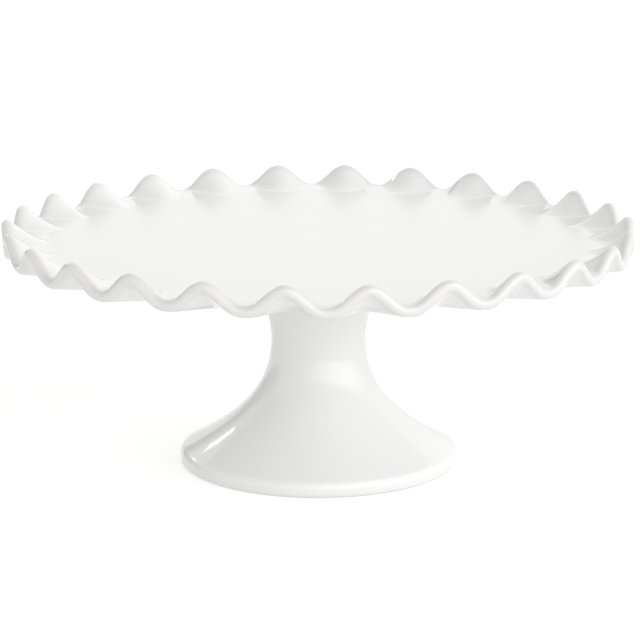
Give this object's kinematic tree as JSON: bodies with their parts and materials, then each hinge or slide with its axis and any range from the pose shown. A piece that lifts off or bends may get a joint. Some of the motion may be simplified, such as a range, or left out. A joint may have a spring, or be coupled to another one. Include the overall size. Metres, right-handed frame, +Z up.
{
  "type": "cake stand",
  "caption": "Footed cake stand: a flat round plate with an evenly ruffled, raised rim on a hollow, waisted pedestal that flares to a wide foot.",
  "frame": {"origin": "centre of the base ring, on the surface the stand rests on", "axes": "+Z up along the pedestal's axis; +X through the crest of a ruffle"},
  "size_m": [0.3034, 0.3014, 0.1198],
  "materials": {
    "glaze": "gloss white glaze",
    "slip": "gloss white glaze over a wiped slip fillet"
  },
  "bodies": {
    "root": {"plate": "glaze", "pedestal": "glaze", "joint_slip": "slip"}
  },
  "joints": []
}
